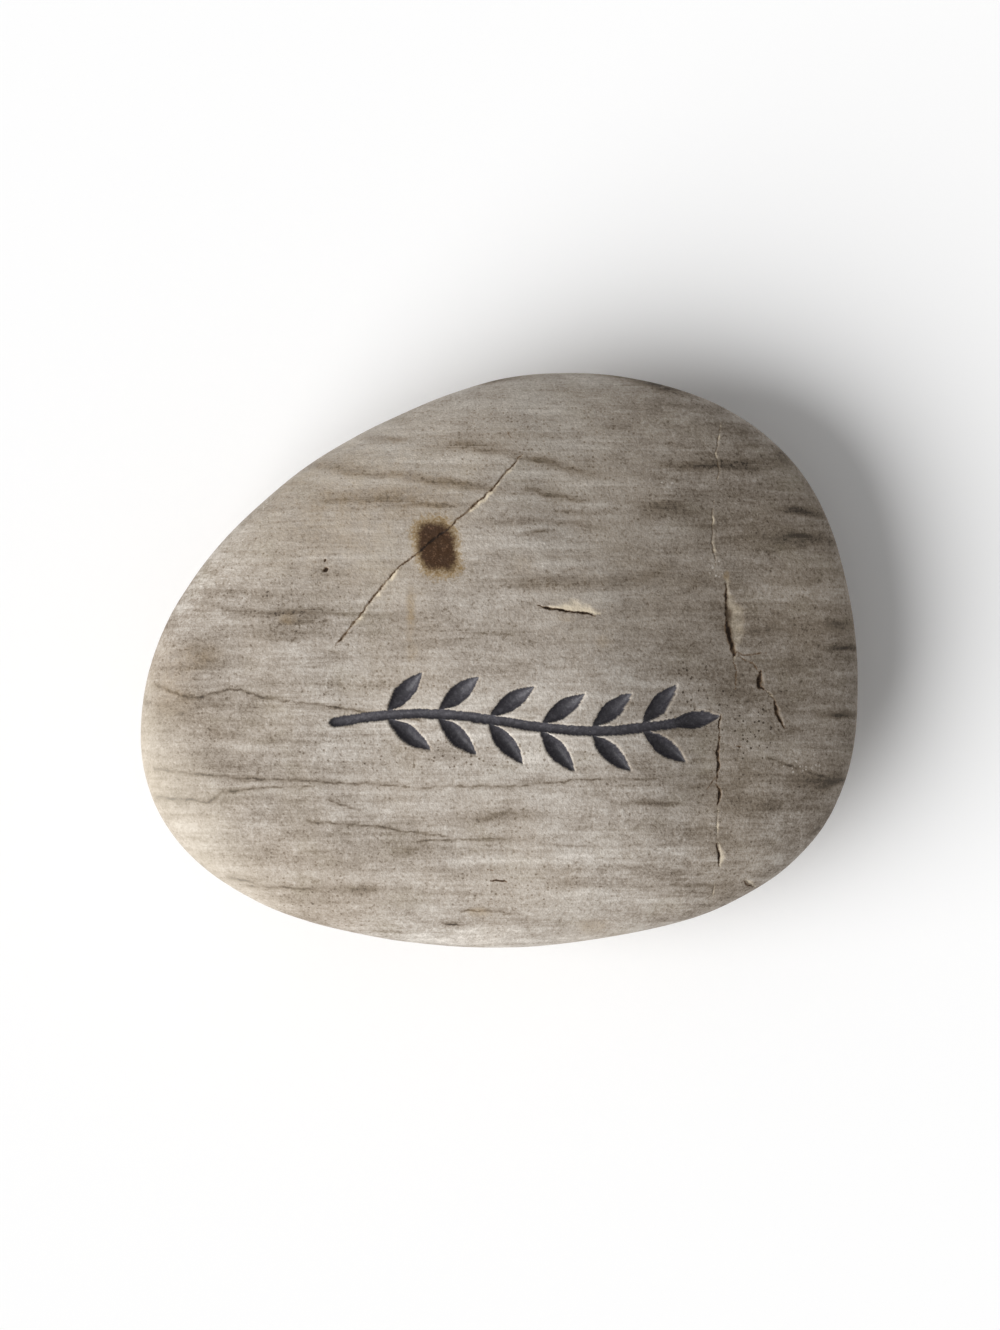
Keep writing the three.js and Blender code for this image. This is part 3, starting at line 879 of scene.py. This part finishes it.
def stone_material():
    s = Shader("banded_stone")
    metres = s.node("TexCoord").outputs["Object"]
    place = s.node("VectorMath", {0: metres, "Scale": 1 / MM}, operation="SCALE").outputs[0]
    x, y, _ = s.node("SeparateXYZ", {0: place}).outputs

    def bedded(texture):
        return s.noise(s.stretched(place, texture.spans, BEDDING), 1, *texture[1:])

    def even(texture):
        return s.noise(place, *texture)

    band = bedded(BAND)
    fibre = bedded(FIBRE)
    thread = bedded(THREAD)
    patch = bedded(PATCH)
    weather = bedded(WEATHER)
    mottle = even(MOTTLE)
    grain = even(GRAIN)
    pepper = even(PEPPER)
    cloud = even(CLOUD)

    aside, down = LOWER_LEFT
    lower_left = s.math("ADD", s.math("MULTIPLY", x, aside), s.math("MULTIPLY", y, down))
    # the fall in tone towards +X is painted shade, darker on the side away from the key light
    tone = s.math("ADD", s.ramp(x, *SIDE_TONE_PAINTED_SHADE), s.ramp(lower_left, *LOWER_LEFT_TONE))
    tone = s.plus(tone, band, BAND_GAIN)
    tone = s.plus(tone, patch, PATCH_GAIN)
    tone = s.plus(tone, thread, THREAD_GAIN)
    tone = s.plus(tone, fibre, FIBRE_GAIN)
    tone = s.plus(tone, mottle, MOTTLE_GAIN)
    tone = s.plus(tone, grain, GRAIN_GAIN)
    streak = s.field("streak")
    breaks = s.ramp(s.plus(thread, mottle, STREAK_RAGGED), *STREAK_BREAKS)
    tone = s.plus(tone, s.math("MULTIPLY", streak, breaks), STREAK_GAIN, 0)
    vein = s.math("MULTIPLY", s.field("vein"), s.ramp(mottle, *VEIN_BREAKS))
    tone = s.plus(tone, vein, VEIN_GAIN, 0)
    dark_pepper = s.ramp(s.plus(pepper, streak, STREAK_PEPPER, 0), *DARK_PEPPER)
    tone = s.plus(tone, dark_pepper, DARK_PEPPER_GAIN, 0)
    tone = s.plus(tone, s.ramp(pepper, *LIGHT_PEPPER), LIGHT_PEPPER_GAIN, 0)
    speckle = s.field("speckle")
    dark_zone = s.math("MAXIMUM", speckle, s.ramp(cloud, *CLOUD_SPECKS))
    dark_specks = s.math("MULTIPLY", s.specks(place, *DARK_SPECKS), dark_zone)
    tone = s.plus(tone, dark_specks, DARK_SPECK_GAIN, 0)
    light_zone = s.math("MULTIPLY", s.math("MINIMUM", speckle, 0), -1)
    light_specks = s.math("MULTIPLY", s.specks(place, *LIGHT_SPECKS), light_zone)
    tone = s.plus(tone, light_specks, LIGHT_SPECK_GAIN, 0)

    stone = s.palette(tone, TONES)
    stone = s.mix(s.ramp(cloud, *WARM_SHARE), stone, WARM)
    stone = s.mix(s.ramp(weather, *OLIVE_SHARE), stone, OLIVE)
    # painted highlight: the lower left rim, which faces the key light, is mixed towards cream
    stone = s.mix(s.ramp(lower_left, *LIT_RIM_PAINTED_HIGHLIGHT_SHARE), stone, LIT_RIM_PAINTED_HIGHLIGHT)
    tint = s.math("MULTIPLY", s.field("tint"), s.ramp(mottle, *TINT_SHARE))
    stone = s.mix(tint, stone, TINT)

    # pale crack walls and carving lip: partly fresh stone, partly painted highlight
    fresh_and_highlight = s.math("MULTIPLY", s.field("pale"), s.ramp(mottle, *FRESH_AND_HIGHLIGHT_SHARE))
    stone = s.mix(fresh_and_highlight, stone, FRESH_AND_HIGHLIGHT)
    rust = s.plus(s.field("rust"), mottle, RUST_RAGGED)
    stone = s.mix(s.ramp(s.plus(rust, grain, HALO_RAGGED), *HALO_SHARE), stone, OCHRE)
    core = s.mix(s.ramp(pepper, *FLECK_SHARE), RUST, RUST_FLECK)
    stone = s.mix(s.ramp(s.plus(rust, grain, CORE_RAGGED), *CORE_SHARE), stone, core)
    dirt = s.math("MULTIPLY", s.field("dirt"), s.ramp(grain, *DIRT_GRAIN))
    soil = s.mix(s.ramp(dirt, *DIRT_SHADE), BROWN, DIRT)
    soil = s.mix(s.ramp(rust, *CORE_SHARE), soil, GRIME)
    stone = s.mix(s.ramp(dirt, *DIRT_SHARE), stone, soil)
    paint = s.math("MULTIPLY", s.field("paint"), s.ramp(grain, *PAINT_GRAIN))
    coat = s.mix(s.ramp(pepper, *PAINT_WEAR), PAINT, PAINT_WORN)
    stone = s.mix(paint, stone, coat)

    grain_relief = s.math("MULTIPLY", grain, GRAIN_HEIGHT)
    relief = s.math("ADD", grain_relief, s.math("MULTIPLY", mottle, MOTTLE_HEIGHT))
    relief = s.math("MULTIPLY", relief, s.ramp(paint, *PAINT_FILLING))
    bump = s.node("Bump", {"Height": relief, "Strength": 1, "Distance": MM}).outputs[0]
    rough = s.plus(s.ramp(mottle, *STONE_ROUGHNESS), paint, PAINT_GLOSS, 0)
    shader = s.node("BsdfPrincipled", {
        "Base Color": stone,
        "Roughness": rough,
        "Specular IOR Level": STONE_SPECULAR,
        "Normal": bump,
    })
    s.node("OutputMaterial", {"Surface": shader.outputs[0]})
    return s.material


# Floor in metres, light, and a camera that looks straight down
FLOOR_HALF = 2
FLOOR_COLOUR = (0.95, 0.95, 0.95, 1)
FLOOR_ROUGHNESS = 0.9
WORLD_COLOUR = (1, 1, 1, 1)
WORLD_STRENGTH = 0.33
KEY_STRENGTH = 4.1
KEY_WIDTH = math.radians(60)
TOWARDS_KEY = (-0.88, -0.47, 0.65)
LENS = 200
FRAME_HEIGHT = 138.7
CAMERA_Y = -0.5


def floor_material():
    s = Shader("pale_floor")
    shader = s.node("BsdfPrincipled", {"Base Color": FLOOR_COLOUR, "Roughness": FLOOR_ROUGHNESS})
    s.node("OutputMaterial", {"Surface": shader.outputs[0]})
    return s.material


# Stage, light and camera

def make_floor():
    mesh = bpy.data.meshes.new("floor")
    corners = [(FLOOR_HALF * x, FLOOR_HALF * y, 0) for x, y in ((-1, -1), (1, -1), (1, 1), (-1, 1))]
    mesh.from_pydata(corners, [], [(0, 1, 2, 3)])
    mesh.materials.append(floor_material())
    floor = add_object("floor", mesh)


def make_light():
    scene = bpy.context.scene
    scene.view_settings.view_transform = "Standard"
    scene.world = bpy.data.worlds.new("studio")
    scene.world.use_nodes = True
    background = scene.world.node_tree.nodes["Background"]
    background.inputs["Color"].default_value = WORLD_COLOUR
    background.inputs["Strength"].default_value = WORLD_STRENGTH
    lamp = bpy.data.lights.new("key", "SUN")
    lamp.energy = KEY_STRENGTH
    lamp.angle = KEY_WIDTH
    key = add_object("key", lamp)
    key.rotation_euler = Vector(TOWARDS_KEY).to_track_quat("Z", "Y").to_euler()


def make_camera():
    lens = bpy.data.cameras.new("camera")
    lens.lens = LENS
    camera = add_object("camera", lens)
    distance = LENS / lens.sensor_width * FRAME_HEIGHT
    camera.location = Vector((0, CAMERA_Y, RIM_HEIGHT + distance)) * MM
    bpy.context.scene.camera = camera


pebble = make_pebble()
pebble.data.materials.append(stone_material())
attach(pebble, "root")
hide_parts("pebble")
make_floor()
make_light()
make_camera()
